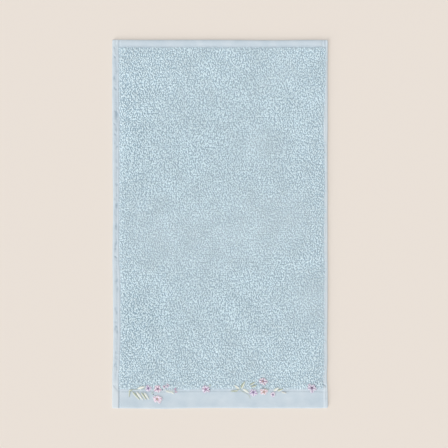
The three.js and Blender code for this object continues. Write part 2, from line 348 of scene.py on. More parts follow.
def make_weave_group():
    """Plain weave from object coordinates: Height for a bump, and Shade, 0 in the gaps between threads."""
    group = bpy.data.node_groups.new("plain_weave", "ShaderNodeTree")
    group.interface.new_socket("Pitch", in_out="INPUT", socket_type="NodeSocketFloat").default_value = 0.5
    group.interface.new_socket("Height", in_out="OUTPUT", socket_type="NodeSocketFloat")
    group.interface.new_socket("Shade", in_out="OUTPUT", socket_type="NodeSocketFloat")
    given = add(group, "NodeGroupInput")
    spot = add(group, "ShaderNodeTexCoord").outputs["Object"]
    uneven = add(group, "ShaderNodeTexNoise", {"Vector": spot, "Scale": 420.0, "Detail": 2.0})
    drift = add(group, "ShaderNodeVectorMath", {0: uneven.outputs["Color"], "Scale": 0.00022},
                operation="SCALE")
    bent = add(group, "ShaderNodeVectorMath", {0: spot, 1: drift.outputs[0]}, operation="ADD")
    turns = add(group, "ShaderNodeMath", {0: 2 * np.pi, 1: given.outputs["Pitch"]}, operation="DIVIDE")
    phase = add(group, "ShaderNodeVectorMath", {0: bent.outputs[0], "Scale": turns.outputs[0]},
                operation="SCALE")
    axes = add(group, "ShaderNodeSeparateXYZ", {0: phase.outputs[0]})
    warp = add(group, "ShaderNodeMath", {0: axes.outputs["X"]}, operation="SINE")
    weft = add(group, "ShaderNodeMath", {0: axes.outputs["Y"]}, operation="SINE")
    crossed = add(group, "ShaderNodeMath", {0: warp.outputs[0], 1: weft.outputs[0]}, operation="MULTIPLY")
    height = add(group, "ShaderNodeMath", {0: crossed.outputs[0], 1: 0.5, 2: 0.5}, operation="MULTIPLY_ADD")
    shade = add(group, "ShaderNodeMapRange", {"Value": crossed.outputs[0], "From Min": -1.0, "From Max": 0.2})
    add(group, "NodeGroupOutput", {"Height": height.outputs[0], "Shade": shade.outputs["Result"]})
    return group


CLOTH_PALE = tint(205, 216, 224)
CLOTH_DEEP = tint(192, 206, 216)
CLOTH_FADED = tint(209, 217, 222)
# Painted shade, coloured into the troughs of the seam's lumps and into the creases.
CLOTH_HOLLOW_PAINTED_SHADE = tint(168, 185, 197)
# Painted shade, coloured onto the ground cloth under the loops, where their gaps are shaded.
CLOTH_PILE_PAINTED_SHADE = tint(155, 177, 190)
WEAVE_PITCH = 0.00085
cloth_cotton, tree, cloth_shader = new_material("plain_woven_cotton")
weave = add(tree, "ShaderNodeGroup", {}, node_tree=make_weave_group())
weave.inputs["Pitch"].default_value = WEAVE_PITCH
spot = add(tree, "ShaderNodeTexCoord").outputs["Object"]
mottle = add(tree, "ShaderNodeTexNoise", {"Vector": spot, "Scale": 55.0, "Detail": 3.0})
soft_mottle = add(tree, "ShaderNodeMapRange",
                  {"Value": mottle.outputs["Fac"], "From Min": 0.3, "From Max": 0.7})
plain = add(tree, "ShaderNodeMix", {"Factor": soft_mottle.outputs["Result"], 6: CLOTH_DEEP, 7: CLOTH_PALE},
            data_type="RGBA")
gaps = add(tree, "ShaderNodeMapRange", {"Value": weave.outputs["Shade"], "To Min": 0.86, "To Max": 1.0})
woven = add(tree, "ShaderNodeMix", {"Factor": 1.0, 6: plain.outputs[2], 7: gaps.outputs["Result"]},
            data_type="RGBA", blend_type="MULTIPLY")
faded = add(tree, "ShaderNodeAttribute", attribute_name="faded")
paler = add(tree, "ShaderNodeMix", {"Factor": faded.outputs["Fac"], 6: woven.outputs[2], 7: CLOTH_FADED},
            data_type="RGBA")
# Painted shade in the troughs of the seam's lumps and in the creases.
painted_hollow_shade = add(tree, "ShaderNodeAttribute", attribute_name="painted_hollow_shade")
shaded = add(tree, "ShaderNodeMix", {"Factor": painted_hollow_shade.outputs["Fac"], 6: paler.outputs[2], 7: CLOTH_HOLLOW_PAINTED_SHADE},
             data_type="RGBA")
# Painted shade on the ground cloth under the loops.
pile_shade_mark = add(tree, "ShaderNodeAttribute", attribute_name="painted_shade_under_pile")
coloured = add(tree, "ShaderNodeMix",
               {"Factor": pile_shade_mark.outputs["Fac"], 6: shaded.outputs[2], 7: CLOTH_PILE_PAINTED_SHADE}, data_type="RGBA")
bump = add(tree, "ShaderNodeBump", {"Height": weave.outputs["Height"], "Strength": 0.35, "Distance": 0.00012})
tree.links.new(coloured.outputs[2], cloth_shader.inputs["Base Color"])
tree.links.new(bump.outputs["Normal"], cloth_shader.inputs["Normal"])
cloth_shader.inputs["Roughness"].default_value = 0.92
cloth_shader.inputs["Sheen Weight"].default_value = 0.12
cloth_shader.inputs["Specular IOR Level"].default_value = 0.25
cloth = piece_from("towel_cloth", cloth_mesh, cloth_cotton)
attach(cloth, "root")
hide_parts("towel")


# The pile: loops of soft cotton yarn that stand out of the ground weave, in rows across the towel.
# Each leans and twists its own way, and neighbours gather into small tufts with dark gaps between.
LOOP_ACROSS, LOOP_ALONG = 1.88, 2.62
YARN_RADIUS = 0.72
LOOP_SPREAD = 2.1
LOOP_JITTER = 0.36
SHORT_LOOPS, SHORT_RISE = 0.08, 0.35
ROOT_SUNK, LEAST_RISE = 0.35, 0.7
PILE_INSIDE, RIGHT_STRAY = 0.3, 2.6
STRAY_FROM_BORDER, STRAY_FROM_TOP = 6.0, 16.0
PILE_BANDS = 5
PILE_SEED = 23
YARN_SIDES, YARN_STEPS = 4, 3

# Places where embroidery presses the loops down: (across, along, reach).
PRESSED = [(40.5, 29.3, 5.5), (50.4, 28.7, 6.4), (63.6, 28.0, 6.8), (75.0, 31.6, 5.0), (87.9, 27.6, 3.0),
           (130.2, 26.6, 7.0), (136.2, 31.6, 3.4), (173.4, 29.8, 5.0), (182.4, 32.6, 6.0), (197.0, 33.0, 6.2),
           (210.2, 38.0, 6.8), (211.0, 29.0, 3.0), (229.5, 26.8, 6.0), (278.2, 28.7, 7.2)]
PRESSED_PILE = 1.35
PRESSED_RISE, PRESSED_EDGE = 0.8, 0.6


def make_tree(name, numbers):
    """An empty geometry tree with a geometry input, a material input and the named number inputs."""
    tree = bpy.data.node_groups.new(name, "GeometryNodeTree")
    tree.interface.new_socket("Geometry", in_out="OUTPUT", socket_type="NodeSocketGeometry")
    tree.interface.new_socket("Geometry", in_out="INPUT", socket_type="NodeSocketGeometry")
    tree.interface.new_socket("Material", in_out="INPUT", socket_type="NodeSocketMaterial")
    for label, value in numbers.items():
        kind = "NodeSocketInt" if isinstance(value, int) else "NodeSocketFloat"
        tree.interface.new_socket(label, in_out="INPUT", socket_type=kind).default_value = value
    return tree, add(tree, "NodeGroupInput").outputs


def math_node(tree, operation, first, second=0.0, third=0.0):
    return add(tree, "ShaderNodeMath", {0: first, 1: second, 2: third}, operation=operation).outputs[0]


def vector_node(tree, x=0.0, y=0.0, z=0.0):
    return add(tree, "ShaderNodeCombineXYZ", {"X": x, "Y": y, "Z": z}).outputs[0]


def random_node(tree, low, high, seed):
    return add(tree, "FunctionNodeRandomValue", {2: low, 3: high, "Seed": seed}, data_type="FLOAT").outputs[1]


def finish_tree(tree, geometry, given):
    smooth = add(tree, "GeometryNodeSetShadeSmooth", {"Geometry": geometry})
    worn = add(tree, "GeometryNodeSetMaterial",
               {"Geometry": smooth.outputs[0], "Material": given["Material"]})
    add(tree, "NodeGroupOutput", {"Geometry": worn.outputs[0]})


def make_loop_tree():
    """Stands a loop of yarn on each point, with its height in "rise" and how far it strays in "ruffle"."""
    sizes = {"Loop Height": 1.0, "Loop Spread": 1.0, "Loop Twist": 1.0, "Yarn Radius": 1.0, "Yarn Sides": 3,
             "Yarn Steps": 5, "Turn": 1.0, "Lean": 1.0, "Tuft Size": 1.0, "Tuft Pull": 1.0, "Seed": 0}
    tree, given = make_tree("terry_loops", sizes)
    half = math_node(tree, "MULTIPLY", given["Loop Spread"], 0.42)
    wide = math_node(tree, "MULTIPLY", given["Loop Spread"], 0.95)
    handle = math_node(tree, "MULTIPLY", given["Loop Height"], 4 / 3)
    minus_half, minus_wide = (math_node(tree, "MULTIPLY", v, -1.0) for v in (half, wide))
    minus_twist = math_node(tree, "MULTIPLY", given["Loop Twist"], -1.0)
    arch = add(tree, "GeometryNodeCurvePrimitiveBezierSegment", {
        "Resolution": given["Yarn Steps"],
        "Start": vector_node(tree, y=minus_half),
        "Start Handle": vector_node(tree, given["Loop Twist"], minus_wide, handle),
        "End Handle": vector_node(tree, minus_twist, wide, handle),
        "End": vector_node(tree, y=half),
    })
    ring = add(tree, "GeometryNodeCurvePrimitiveCircle",
               {"Resolution": given["Yarn Sides"], "Radius": given["Yarn Radius"]})
    yarn = add(tree, "GeometryNodeCurveToMesh",
               {"Curve": arch.outputs[0], "Profile Curve": ring.outputs[0], "Fill Caps": True})
    place = add(tree, "GeometryNodeInputPosition").outputs[0]
    rooted = add(tree, "GeometryNodeStoreNamedAttribute",
                 {"Geometry": given["Geometry"], "Name": "root", "Value": place}, data_type="FLOAT_VECTOR")
    seeds = [math_node(tree, "ADD", given["Seed"], n) for n in range(6)]
    minus_turn, minus_lean = (math_node(tree, "MULTIPLY", given[n], -1.0) for n in ("Turn", "Lean"))
    turn = vector_node(tree, z=random_node(tree, minus_turn, given["Turn"], seeds[0]))
    rise = add(tree, "GeometryNodeInputNamedAttribute", {"Name": "rise"}, data_type="FLOAT").outputs[0]
    tall = math_node(tree, "DIVIDE", rise, given["Loop Height"])
    uneven = math_node(tree, "MULTIPLY", tall, random_node(tree, 0.86, 1.1, seeds[1]))
    plump = random_node(tree, 0.85, 1.2, seeds[2])
    stood = add(tree, "GeometryNodeInstanceOnPoints", {
        "Points": rooted.outputs[0],
        "Instance": yarn.outputs[0],
        "Rotation": add(tree, "FunctionNodeEulerToRotation", {0: turn}).outputs[0],
        "Scale": vector_node(tree, plump, plump, uneven),
    })
    leaned = add(tree, "GeometryNodeStoreNamedAttribute", {
        "Geometry": stood.outputs[0], "Name": "lean",
        "Value": vector_node(tree, random_node(tree, minus_lean, given["Lean"], seeds[3]),
                             random_node(tree, minus_lean, given["Lean"], seeds[4])),
    }, data_type="FLOAT_VECTOR", domain="INSTANCE")
    toned = add(tree, "GeometryNodeStoreNamedAttribute", {
        "Geometry": leaned.outputs[0], "Name": "loop_tone", "Value": random_node(tree, 0.0, 1.0, seeds[5]),
    }, data_type="FLOAT", domain="INSTANCE")
    loops = add(tree, "GeometryNodeRealizeInstances", {"Geometry": toned.outputs[0]})
    root = add(tree, "GeometryNodeInputNamedAttribute", {"Name": "root"}, data_type="FLOAT_VECTOR").outputs[0]
    lean = add(tree, "GeometryNodeInputNamedAttribute", {"Name": "lean"}, data_type="FLOAT_VECTOR").outputs[0]
    finer = math_node(tree, "DIVIDE", 1.0, given["Tuft Size"])
    drawn_out = add(tree, "ShaderNodeVectorMath", {0: root, 1: (1.1, 0.45, 1.0)}, operation="MULTIPLY")
    gather = add(tree, "ShaderNodeTexNoise",
                 {"Vector": drawn_out.outputs[0], "Scale": finer, "Detail": 1.0}, noise_dimensions="3D")
    pull = add(tree, "ShaderNodeVectorMath", {0: gather.outputs["Color"], 1: (0.5, 0.5, 0.5)},
               operation="SUBTRACT")
    ruffle = add(tree, "GeometryNodeInputNamedAttribute", {"Name": "ruffle"}, data_type="FLOAT").outputs[0]
    strength = math_node(tree, "MULTIPLY", ruffle, given["Tuft Pull"])
    pulled = add(tree, "ShaderNodeVectorMath", {0: pull.outputs[0], "Scale": strength}, operation="SCALE")
    swayed = add(tree, "ShaderNodeVectorMath", {0: pulled.outputs[0], 1: lean}, operation="ADD")
    level = add(tree, "ShaderNodeVectorMath", {0: swayed.outputs[0], 1: (1.0, 1.0, 0.0)},
                operation="MULTIPLY")
    up = add(tree, "ShaderNodeVectorMath", {0: place, 1: root}, operation="SUBTRACT")
    above = add(tree, "ShaderNodeSeparateXYZ", {0: up.outputs[0]}).outputs["Z"]
    shift = add(tree, "ShaderNodeVectorMath", {0: level.outputs[0], "Scale": above}, operation="SCALE")
    moved = add(tree, "GeometryNodeSetPosition", {"Geometry": loops.outputs[0], "Offset": shift.outputs[0]})
    height_mark = add(tree, "GeometryNodeStoreNamedAttribute", {
        "Geometry": moved.outputs[0], "Name": "up_yarn",
        "Value": math_node(tree, "DIVIDE", above, given["Loop Height"]),
    }, data_type="FLOAT", domain="POINT")
    finish_tree(tree, height_mark.outputs[0], given)
    return tree


def grown(name, mesh, tree, material, numbers):
    """Runs a geometry tree on a mesh and keeps the result as a plain piece."""
    piece = piece_from(name, mesh, None)
    modifier = piece.modifiers.new(tree.name, "NODES")
    modifier.node_group = tree
    names = {s.name: s.identifier for s in tree.interface.items_tree if s.in_out == "INPUT"}
    modifier[names["Material"]] = material
    for label, value in numbers.items():
        modifier[names[label]] = value
    depsgraph = bpy.context.evaluated_depsgraph_get()
    made = bpy.data.meshes.new_from_object(
        piece.evaluated_get(depsgraph), preserve_all_data_layers=True, depsgraph=depsgraph)
    piece.modifiers.clear()
    piece.data = made
    made.name = name
    bpy.data.meshes.remove(mesh)
    return piece


YARN_PALE = tint(229, 245, 251)
YARN_DEEP = tint(219, 236, 244)
# Painted shade: the yarn is coloured darker towards its root, where the gaps between the loops are shaded.
YARN_ROOT_PAINTED_SHADE = tint(194, 213, 223)
YARN_DOWN = tint(200, 226, 240)
loop_cotton, tree, yarn_shader = new_material("terry_yarn")
tone = add(tree, "ShaderNodeAttribute", attribute_name="loop_tone")
shades = add(tree, "ShaderNodeMix", {"Factor": tone.outputs["Fac"], 6: YARN_DEEP, 7: YARN_PALE},
             data_type="RGBA")
# Painted shade, darker down the yarn towards its root, and more so where the loops are ruffled.
up_yarn = add(tree, "ShaderNodeAttribute", attribute_name="up_yarn")
lit = add(tree, "ShaderNodeMapRange", {"Value": up_yarn.outputs["Fac"], "From Min": 0.15, "From Max": 0.75})
ruffled = add(tree, "ShaderNodeAttribute", attribute_name="ruffle")
unlit = add(tree, "ShaderNodeMath", {0: 1.0, 1: lit.outputs["Result"]}, operation="SUBTRACT")
deep = add(tree, "ShaderNodeMath", {0: ruffled.outputs["Fac"], 1: RUFFLED_MOST}, operation="DIVIDE")
root_shade_share = add(tree, "ShaderNodeMath", {0: unlit.outputs[0], 1: deep.outputs[0]}, operation="MULTIPLY")
rooted = add(tree, "ShaderNodeMix", {"Factor": root_shade_share.outputs[0], 6: shades.outputs[2], 7: YARN_ROOT_PAINTED_SHADE},
             data_type="RGBA")
spot = add(tree, "ShaderNodeTexCoord").outputs["Object"]
patches = add(tree, "ShaderNodeTexNoise", {"Vector": spot, "Scale": 32.0, "Detail": 2.0})
mottle = add(tree, "ShaderNodeMapRange", {
    "Value": patches.outputs["Fac"], "From Min": 0.3, "From Max": 0.7, "To Min": 0.91, "To Max": 1.02,
})
calm = add(tree, "ShaderNodeMapRange",
           {"Value": deep.outputs[0], "From Min": 0.14, "To Min": 0.93, "To Max": 1.055})
uneven = add(tree, "ShaderNodeMath", {0: mottle.outputs["Result"], 1: calm.outputs["Result"]},
             operation="MULTIPLY")
mottled = add(tree, "ShaderNodeMix", {"Factor": 1.0, 6: rooted.outputs[2], 7: uneven.outputs[0]},
              data_type="RGBA", blend_type="MULTIPLY")
fibres = add(tree, "ShaderNodeTexNoise", {"Vector": spot, "Scale": 2600.0, "Detail": 3.0})
fuzz = add(tree, "ShaderNodeBump", {"Height": fibres.outputs["Fac"], "Strength": 0.5, "Distance": 0.0002})
tree.links.new(mottled.outputs[2], yarn_shader.inputs["Base Color"])
tree.links.new(fuzz.outputs["Normal"], yarn_shader.inputs["Normal"])
yarn_shader.inputs["Roughness"].default_value = 0.95
yarn_shader.inputs["Sheen Weight"].default_value = 0.2
yarn_shader.inputs["Sheen Tint"].default_value = YARN_DOWN
yarn_shader.inputs["Specular IOR Level"].default_value = 0.1


def map_tubes(piece, sides, rings):
    """A map for baking on a piece made of like tubes: each has its own cell, unrolled, with its caps
    beside."""
    mesh = piece.data
    corner = np.empty(len(mesh.loops), np.int64)
    mesh.loops.foreach_get("vertex_index", corner)
    starts, sizes = np.empty(len(mesh.polygons), np.int64), np.empty(len(mesh.polygons), np.int64)
    mesh.polygons.foreach_get("loop_start", starts)
    mesh.polygons.foreach_get("loop_total", sizes)
    face = np.repeat(np.arange(len(starts)), sizes)
    tube, spot = np.divmod(corner, sides * rings)
    ring, side = np.divmod(spot, sides)
    lowest, highest = np.minimum.reduceat(ring, starts), np.maximum.reduceat(ring, starts)
    joins_round = np.maximum.reduceat(side, starts) == sides - 1
    around = np.where((side == 0) & joins_round[face], sides, side) / sides
    u, v = 0.06 + 0.88 * around, 0.16 + 0.68 * ring / (rings - 1)
    on_cap = (lowest == highest)[face]
    turn = 2 * np.pi * side / sides
    u = np.where(on_cap, 0.5 + 0.4 * np.cos(turn), u)
    v = np.where(on_cap, np.where(ring == 0, 0.07, 0.93) + 0.05 * np.sin(turn), v)
    cells = int(np.ceil(np.sqrt(tube.max() + 1)))
    places = np.stack([(tube % cells + u) / cells, (tube // cells + v) / cells], -1)
    mesh.uv_layers.new(name="OFBake").data.foreach_set("uv", places.astype(np.float32).ravel())


draw = np.random.default_rng(PILE_SEED)
loop_across = np.arange(FOLD_IN, WIDTH, LOOP_ACROSS)
loop_along = np.arange(FOLD_IN, LENGTH, LOOP_ALONG)
across, along = np.meshgrid(loop_across, loop_along)
across = across + LOOP_ACROSS * 0.5 * (np.arange(len(loop_along)) % 2)[:, None]
across = across + draw.uniform(-1, 1, across.shape) * LOOP_JITTER * LOOP_ACROSS
along = along + draw.uniform(-1, 1, along.shape) * LOOP_JITTER * LOOP_ALONG
stray = np.where(across > WIDTH / 2, RIGHT_STRAY * draw.uniform(0, 1, across.shape) ** 2, 0.0)
near_border = along < BORDER_WIDTH + SEAM_RIDGE + STRAY_FROM_BORDER
stray = np.where(near_border | (along > LENGTH - STRAY_FROM_TOP), 0.0, stray)
inside = past_hems(across, along) > PILE_INSIDE - stray
band_of = np.broadcast_to(np.arange(len(loop_across)) * PILE_BANDS // len(loop_across), across.shape)[inside]
across, along = across[inside], along[inside]
share = pile_share(across, along)
ground = cloth_height(across, along) - ROOT_SUNK
reach = GROUND + (PILE_TOP - GROUND) * share + patches_at(SWELLS, across, along) * share
rise = np.maximum(reach - YARN_RADIUS - ground, LEAST_RISE)
rise = rise * np.where(draw.uniform(0, 1, rise.shape) < SHORT_LOOPS, SHORT_RISE, 1.0)
for x, y, around in PRESSED:
    away = np.hypot(across - x, along - y) / around
    rise = np.where(away < 1, np.minimum(rise, PRESSED_RISE + PRESSED_EDGE * away**4), rise)
ruffle = ruffle_at(across, along)
roots = laid(across, along, ground)
loop_tree = make_loop_tree()
loop_sizes = {"Loop Height": 2.0 * MM, "Loop Spread": LOOP_SPREAD * MM, "Loop Twist": 0.15 * MM,
              "Yarn Radius": YARN_RADIUS * MM, "Yarn Sides": YARN_SIDES, "Yarn Steps": YARN_STEPS,
              "Turn": 0.5, "Lean": 0.35, "Tuft Size": 2.75 * MM, "Tuft Pull": 1.3}
for band in range(PILE_BANDS):
    chosen = band_of == band
    points = mesh_from("pile_roots", roots[chosen])
    for label, values in (("rise", rise * MM), ("ruffle", ruffle)):
        mark_points(points, label, values[chosen])
    sizes = {**loop_sizes, "Seed": 100 * band}
    piece = grown(f"terry_pile_{band + 1}", points, loop_tree, loop_cotton, sizes)
    map_tubes(piece, YARN_SIDES, YARN_STEPS + 1)
    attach(piece, "root")


# The sewing: pale cotton thread in straight rows of stitches that hold the turned hems and the border
# down. Each stitch sinks into the cloth at both ends.
SEWING_RADIUS = 0.22
STITCH_PITCH, STITCH_LENGTH = 3.6, 2.5
STITCH_BULGE, STITCH_OVER = 0.3, 0.05
THREAD_SIDES, STITCH_STEPS = 4, 6
RIGHT_SEAM_IN, TOP_SEAM_IN = 3.0, 9.3
SIDE_SEAM_ENDS, END_SEAM_ENDS = (9.0, 504.0), (13.0, 289.0)
LEFT_SEAM_START = 40.0


def make_thread_tree():
    """Turns each run of edges into a thread that arches as far as "bulge" on its points says."""
    tree, given = make_tree("sewn_threads", {"Thread Radius": 1.0, "Thread Sides": 5, "Steps": 6})
    runs = add(tree, "GeometryNodeMeshToCurve", {"Mesh": given["Geometry"]})
    even = add(tree, "GeometryNodeResampleCurve", {"Curve": runs.outputs[0], "Count": given["Steps"]})
    place = add(tree, "GeometryNodeSplineParameter")
    share = place.outputs["Factor"]
    bulge = add(tree, "GeometryNodeInputNamedAttribute", {"Name": "bulge"}, data_type="FLOAT").outputs[0]
    back = math_node(tree, "SUBTRACT", 1.0, share)
    arch = math_node(tree, "MULTIPLY", math_node(tree, "MULTIPLY", share, back), 4.0)
    lift = vector_node(tree, z=math_node(tree, "MULTIPLY", arch, bulge))
    arched = add(tree, "GeometryNodeSetPosition", {"Geometry": even.outputs[0], "Offset": lift})
    marked = add(tree, "GeometryNodeStoreNamedAttribute",
                 {"Geometry": arched.outputs[0], "Name": "along_thread", "Value": place.outputs["Length"]},
                 data_type="FLOAT", domain="POINT")
    ring = add(tree, "GeometryNodeCurvePrimitiveCircle",
               {"Resolution": given["Thread Sides"], "Radius": given["Thread Radius"]})
    narrow = math_node(tree, "MULTIPLY_ADD", math_node(tree, "POWER", arch, 0.5), 0.4, 0.6)
    thread = add(tree, "GeometryNodeCurveToMesh", {
        "Curve": marked.outputs[0], "Profile Curve": ring.outputs[0], "Scale": narrow, "Fill Caps": True,
    })
    finish_tree(tree, thread.outputs[0], given)
    return tree


thread_tree = make_thread_tree()


def sewn_height(across, along):
    """Where thread lies: on the bare cloth, or on the loops that it presses down."""
    return cloth_height(across, along) + PRESSED_PILE * pile_share(across, along)


def sewn(name, runs, material, radius, steps):
    """One piece of thread runs: (places on the cloth, height over it, bulge, a dye for each place)."""
    points, edges, bulges, dyes = [], [], [], []
    for places, over, bulge, run_dyes in runs:
        across, along = np.array(places, float).T
        edges += [(len(points) + n, len(points) + n + 1) for n in range(len(across) - 1)]
        points += list(laid(across, along, sewn_height(across, along) + over))
        bulges += [bulge * MM] * len(across)
        dyes += run_dyes
    mesh = mesh_from(name, points, edges=edges)
    mark_points(mesh, "bulge", bulges)
    dye = mesh.attributes.new("dye", "FLOAT_COLOR", "POINT")
    dye.data.foreach_set("color", np.array(dyes, np.float32).ravel())
    sizes = {"Thread Radius": radius * MM, "Thread Sides": THREAD_SIDES, "Steps": steps}
    piece = grown(name, mesh, thread_tree, material, sizes)
    map_tubes(piece, THREAD_SIDES, steps)
    return piece


def make_ply_group():
    """Two plies twisted together, from the distance along a thread: Height for a bump, and Shade, which is
    lower between the plies."""
    group = bpy.data.node_groups.new("twisted_plies", "ShaderNodeTree")
    twist = group.interface.new_socket("Twist Length", in_out="INPUT", socket_type="NodeSocketFloat")
    twist.default_value = 0.001
    group.interface.new_socket("Height", in_out="OUTPUT", socket_type="NodeSocketFloat")
    group.interface.new_socket("Shade", in_out="OUTPUT", socket_type="NodeSocketFloat")
    given = add(group, "NodeGroupInput")
    along_thread = add(group, "ShaderNodeAttribute", attribute_name="along_thread")
    turns = math_node(group, "DIVIDE", along_thread.outputs["Fac"], given.outputs["Twist Length"])
    spot = add(group, "ShaderNodeTexCoord").outputs["Object"]
    uneven = add(group, "ShaderNodeTexNoise", {"Vector": spot, "Scale": 1500.0, "Detail": 2.0})
    bent = math_node(group, "ADD", turns, uneven.outputs["Fac"])
    ply = math_node(group, "SINE", math_node(group, "MULTIPLY", bent, 2 * np.pi))
    height = math_node(group, "MULTIPLY_ADD", ply, 0.5, 0.5)
    shade = add(group, "ShaderNodeMapRange", {"Value": height, "To Min": 0.84, "To Max": 1.0})
    add(group, "NodeGroupOutput", {"Height": height, "Shade": shade.outputs["Result"]})
    return group


ply_group = make_ply_group()


def thread_material(name, twist_length, roughness, sheen):
    material, tree, shader = new_material(name)
    dye = add(tree, "ShaderNodeAttribute", attribute_name="dye")
    ply = add(tree, "ShaderNodeGroup", {}, node_tree=ply_group)
    ply.inputs["Twist Length"].default_value = twist_length
    dyed = add(tree, "ShaderNodeMix", {"Factor": 1.0, 6: dye.outputs["Color"], 7: ply.outputs["Shade"]},
               data_type="RGBA", blend_type="MULTIPLY")
    bump = add(tree, "ShaderNodeBump", {"Height": ply.outputs["Height"], "Strength": 0.4, "Distance": 0.0001})
    tree.links.new(dyed.outputs[2], shader.inputs["Base Color"])
    tree.links.new(bump.outputs["Normal"], shader.inputs["Normal"])
    shader.inputs["Roughness"].default_value = roughness
    shader.inputs["Sheen Weight"].default_value = sheen
    shader.inputs["Specular IOR Level"].default_value = 0.3
    return material


SEWING_DYE = tint(206, 218, 226)
up_side = np.linspace(*SIDE_SEAM_ENDS, 56)
across_end = np.linspace(*END_SEAM_ENDS, 30)
left_seam = np.stack([SEAM_IN * eased(LEFT_HEM_WIDTHS, up_side / LENGTH), up_side], -1)
right_seam = np.stack([WIDTH - RIGHT_SEAM_IN * eased(RIGHT_HEM_WIDTHS, up_side / LENGTH), up_side], -1)
top_seam = np.stack([across_end, LENGTH - TOP_SEAM_IN * eased(TOP_HEM_WIDTHS, across_end / WIDTH)], -1)
border_seam = np.stack([across_end, np.full(len(across_end), BORDER_WIDTH)], -1)


def stitch_places(points, length, step):
    """Both ends of each stitch in a row of them along a line."""
    points = np.array(points, float)
    reach = np.concatenate([[0], np.cumsum(np.hypot(*np.diff(points, axis=0).T))])
    starts = np.arange(0, reach[-1] - 0.5 * length, step)
    ends = np.stack([starts, np.minimum(starts + length, reach[-1])], -1)
    return np.stack([np.interp(ends, reach, points[:, n]) for n in (0, 1)], -1)


sewing_runs = [(places, STITCH_OVER, STITCH_BULGE, [SEWING_DYE, SEWING_DYE])
               for seam in (left_seam[up_side > LEFT_SEAM_START], right_seam, top_seam, border_seam)
               for places in stitch_places(seam, STITCH_LENGTH, STITCH_PITCH)]
sewing_cotton = thread_material("sewing_cotton", 0.0011, 0.85, 0.1)
hem_stitches = sewn("hem_stitches", sewing_runs, sewing_cotton, SEWING_RADIUS, STITCH_STEPS)
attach(hem_stitches, "root")


# The leaves and stems: green embroidery thread, satin stitched out of the border and over the loops
# beside it. Leaves are laid in slanted stitches from a middle line, and stems in short stitches in line.
FLOSS_RADIUS = 0.24
FLOSS_PITCH = 0.44
FLOSS_BULGE = 0.3
FLOSS_OVER = 0.18
FLOSS_STEPS = 6
EMBROIDERY_SEED = 7
LEAF_GREEN = tint(234, 239, 230)
PALE_LEAF = tint(250, 252, 246)
OLIVE = tint(186, 195, 172)
SEA_GREEN = tint(206, 222, 219)
GREY_LEAF = tint(202, 202, 200)

# (base across, along, tip across, along, width, dye of its left half, dye of its right half)
LEAVES = [
    (28.1, 26.6, 22.6, 23.4, 2.6, OLIVE, LEAF_GREEN),
    (24.4, 24.4, 23.4, 15.8, 1.8, OLIVE, LEAF_GREEN),
    (28.0, 23.6, 38.4, 12.0, 2.8, OLIVE, LEAF_GREEN),
    (33.4, 23.6, 43.4, 11.6, 2.8, LEAF_GREEN, PALE_LEAF),
    (40.2, 22.8, 47.8, 12.2, 2.7, OLIVE, LEAF_GREEN),
    (44.4, 22.8, 51.4, 12.8, 2.6, LEAF_GREEN, PALE_LEAF),
    (35.0, 27.4, 45.8, 31.2, 3.2, LEAF_GREEN, PALE_LEAF),
    (57.2, 23.0, 54.2, 20.4, 1.8, SEA_GREEN, SEA_GREEN),
    (74.6, 24.6, 81.8, 22.6, 1.8, LEAF_GREEN, PALE_LEAF),
    (81.0, 24.2, 86.6, 20.6, 1.8, LEAF_GREEN, PALE_LEAF),
    (134.2, 30.0, 138.2, 33.2, 2.4, SEA_GREEN, SEA_GREEN),
    (176.8, 27.0, 170.2, 32.4, 3.2, LEAF_GREEN, PALE_LEAF),
    (175.6, 24.9, 165.2, 23.6, 2.2, OLIVE, LEAF_GREEN),
    (179.2, 27.4, 185.2, 37.8, 3.6, OLIVE, LEAF_GREEN),
    (181.2, 27.6, 190.4, 21.8, 3.4, LEAF_GREEN, PALE_LEAF),
    (192.2, 32.6, 199.2, 36.6, 2.6, OLIVE, LEAF_GREEN),
    (193.6, 29.6, 201.6, 32.4, 2.2, OLIVE, LEAF_GREEN),
    (224.4, 24.2, 232.2, 29.2, 3.2, LEAF_GREEN, PALE_LEAF),
    (229.8, 24.0, 237.8, 27.4, 2.8, OLIVE, LEAF_GREEN),
    (235.4, 23.2, 242.8, 21.2, 2.2, GREY_LEAF, PALE_LEAF),
]

# (dye, points in line)
STEMS = [
    (OLIVE, [(23.4, 26.0), (34.3, 27.0), (46.8, 28.2)]),
    (LEAF_GREEN, [(70.6, 26.3), (80.2, 25.1), (90.8, 24.1)]),
    (OLIVE, [(165.2, 24.1), (172.1, 25.1), (177.0, 26.9)]),
    (OLIVE, [(177.0, 26.9), (181.9, 23.3), (188.0, 20.2), (191.3, 17.1), (191.9, 13.2)]),
    (OLIVE, [(212.2, 28.5), (218.1, 26.0)]),
]
STEM_STITCH, STEM_STEP, STEM_OVER = 2.4, 1.3, 0.28
LEAF_FILLED, LEAF_SLANT, LEAF_EDGE = 0.86, 0.16, 0.1

stitch_draw = np.random.default_rng(EMBROIDERY_SEED)


def leaf_runs(base_across, base_along, tip_across, tip_along, width, left_dye, right_dye):
    base, tip = np.array([base_across, base_along]), np.array([tip_across, tip_along])
    axis = tip - base
    length = np.hypot(*axis)
    aside = np.array([-axis[1], axis[0]]) / length
    runs = []
    for share in np.arange(0, LEAF_FILLED, FLOSS_PITCH / length):
        ahead = min(share + LEAF_SLANT + 0.5 * width / length, 1.0)
        half_width = 0.5 * width * np.sin(np.pi * ahead**0.75) ** 0.8 + LEAF_EDGE
        for hand, dye in ((1, left_dye), (-1, right_dye)):
            edge = base + axis * ahead + aside * hand * half_width * stitch_draw.uniform(0.88, 1.1)
            runs.append(([base + axis * share, edge], FLOSS_OVER, FLOSS_BULGE, [dye, dye]))
    return runs


